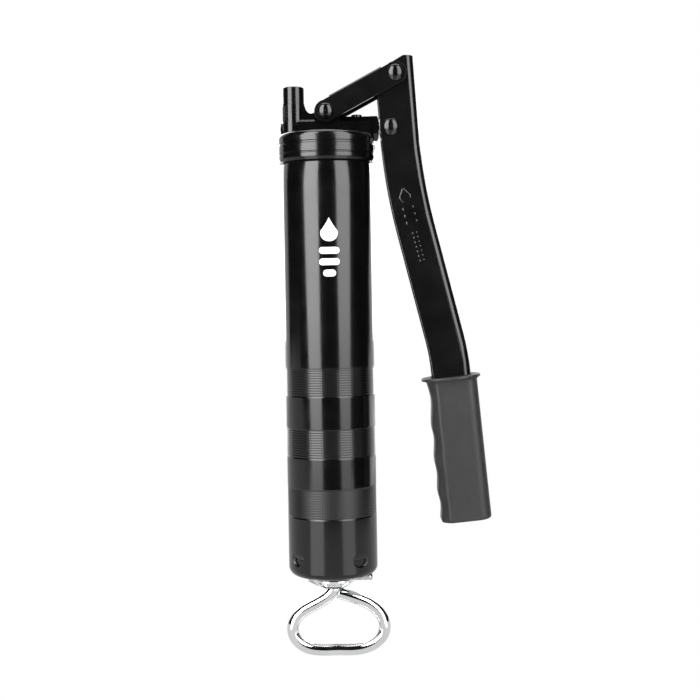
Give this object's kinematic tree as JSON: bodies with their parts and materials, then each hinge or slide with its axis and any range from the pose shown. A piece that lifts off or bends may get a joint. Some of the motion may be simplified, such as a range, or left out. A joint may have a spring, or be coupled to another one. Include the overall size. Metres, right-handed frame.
{
  "type": "lever grease gun",
  "caption": "Hand-lever grease gun: black barrel with knurled bands, screw-on pump head with toggle lever and outlet port, spring follower, chrome pull-loop rod and moulded grip.",
  "frame": {"origin": "on the barrel's axis, in the middle of the smooth wall between the head's collar and the knurled bands", "axes": "+Z along the barrel towards the pump head, +X towards the lever, -Y towards the side shown as the front"},
  "size_m": [0.133, 0.0616, 0.3838],
  "materials": {
    "barrel_paint": "gloss black stove enamel on drawn steel",
    "head_paint": "gloss black paint over a casting",
    "lever_paint": "gloss black paint on pressed steel",
    "rivet_paint": "gloss black painted rivet",
    "dark_fitting": "black oxide",
    "chrome_plate": "bright chrome plate on drawn wire",
    "zinc_plate": "bright zinc plate",
    "bright_steel": "ground steel",
    "spring_steel": "oiled spring steel",
    "nitrile": "matt black nitrile",
    "grip_pvc": "matt dark grey moulded PVC"
  },
  "bodies": {
    "barrel": {"barrel_tube": "barrel_paint", "spring_seat": "zinc_plate", "rod_guide": "chrome_plate", "rod_seal": "nitrile", "follower_spring": "spring_steel"},
    "gasket": {"head_gasket": "nitrile"},
    "head": {"pump_head": "head_paint", "outlet_fitting": "head_paint", "check_spring": "spring_steel", "plunger_seal": "nitrile", "gland_nut": "head_paint", "bore_plug": "head_paint", "bore_plug_washer": "head_paint", "bulk_fill_fitting": "dark_fitting", "bleed_valve_body": "dark_fitting"},
    "check_ball": {"check_ball": "bright_steel"},
    "bleed_pin": {"bleed_pin": "dark_fitting"},
    "link": {"toggle_link": "lever_paint", "link_head_rivet": "rivet_paint", "link_lever_rivet": "rivet_paint"},
    "lever": {"lever": "lever_paint", "plunger_rivet": "rivet_paint", "lever_grip": "grip_pvc"},
    "plunger": {"plunger_rod": "bright_steel"},
    "follower": {"follower_cup": "nitrile", "follower_plate": "zinc_plate", "follower_washer": "zinc_plate"},
    "rod": {"follower_rod": "chrome_plate", "rod_tip_nut": "zinc_plate", "rod_clip": "spring_steel"},
    "latch": {"rod_latch_plate": "zinc_plate"}
  },
  "joints": [
    {"name": "head_lift", "type": "slide", "parent": "barrel", "child": "gasket", "axis": [0, 0, 1], "range_m": [0, 0.008]},
    {"name": "head_turn", "type": "hinge", "parent": "gasket", "child": "head", "pos_m": [0, 0, 0.07], "axis": [0, 0, 1], "range_deg": [0, 1440]},
    {"name": "link_swing", "type": "hinge", "parent": "head", "child": "link", "pos_m": [0.0002, 0, 0.0967], "axis": [0, -1, 0], "range_deg": [-8.2, 0.2]},
    {"name": "lever_swing", "type": "hinge", "parent": "link", "child": "lever", "pos_m": [0.0446, 0, 0.1202], "axis": [0, -1, 0], "range_deg": [0, 54]},
    {"name": "plunger_slide", "type": "slide", "parent": "head", "child": "plunger", "axis": [1, 0, 0], "range_m": [0, 0.0286]},
    {"name": "check_ball_lift", "type": "slide", "parent": "head", "child": "check_ball", "axis": [0, 0, 1], "range_m": [0, 0.0015], "stiffness_N_per_m": 200, "springref_m": -0.002, "deforming": ["check_spring"]},
    {"name": "bleed_press", "type": "slide", "parent": "head", "child": "bleed_pin", "axis": [-0.7986, -0.6018, 0], "range_m": [0, 0.0011], "stiffness_N_per_m": 300, "springref_m": -0.002},
    {"name": "rod_pull", "type": "slide", "parent": "barrel", "child": "follower", "axis": [0, 0, -1], "range_m": [0, 0.205], "stiffness_N_per_m": 150, "springref_m": -0.12, "deforming": ["follower_spring"]},
    {"name": "rod_turn", "type": "hinge", "parent": "follower", "child": "rod", "pos_m": [0, 0, -0.2], "axis": [0, 0, 1], "continuous": true},
    {"name": "latch_push", "type": "slide", "parent": "barrel", "child": "latch", "axis": [-1, 0, 0], "range_m": [0, 0.0025], "stiffness_N_per_m": 300, "springref_m": -0.003}
  ],
  "couplings": [
    {"joint": "head_turn", "follows": "head_lift", "rad_per_m": 3141.6},
    {"joint": "link_swing", "follows": "lever_swing", "ratio": -0.146},
    {"joint": "plunger_slide", "follows": "lever_swing", "m_per_rad": 0.03}
  ]
}
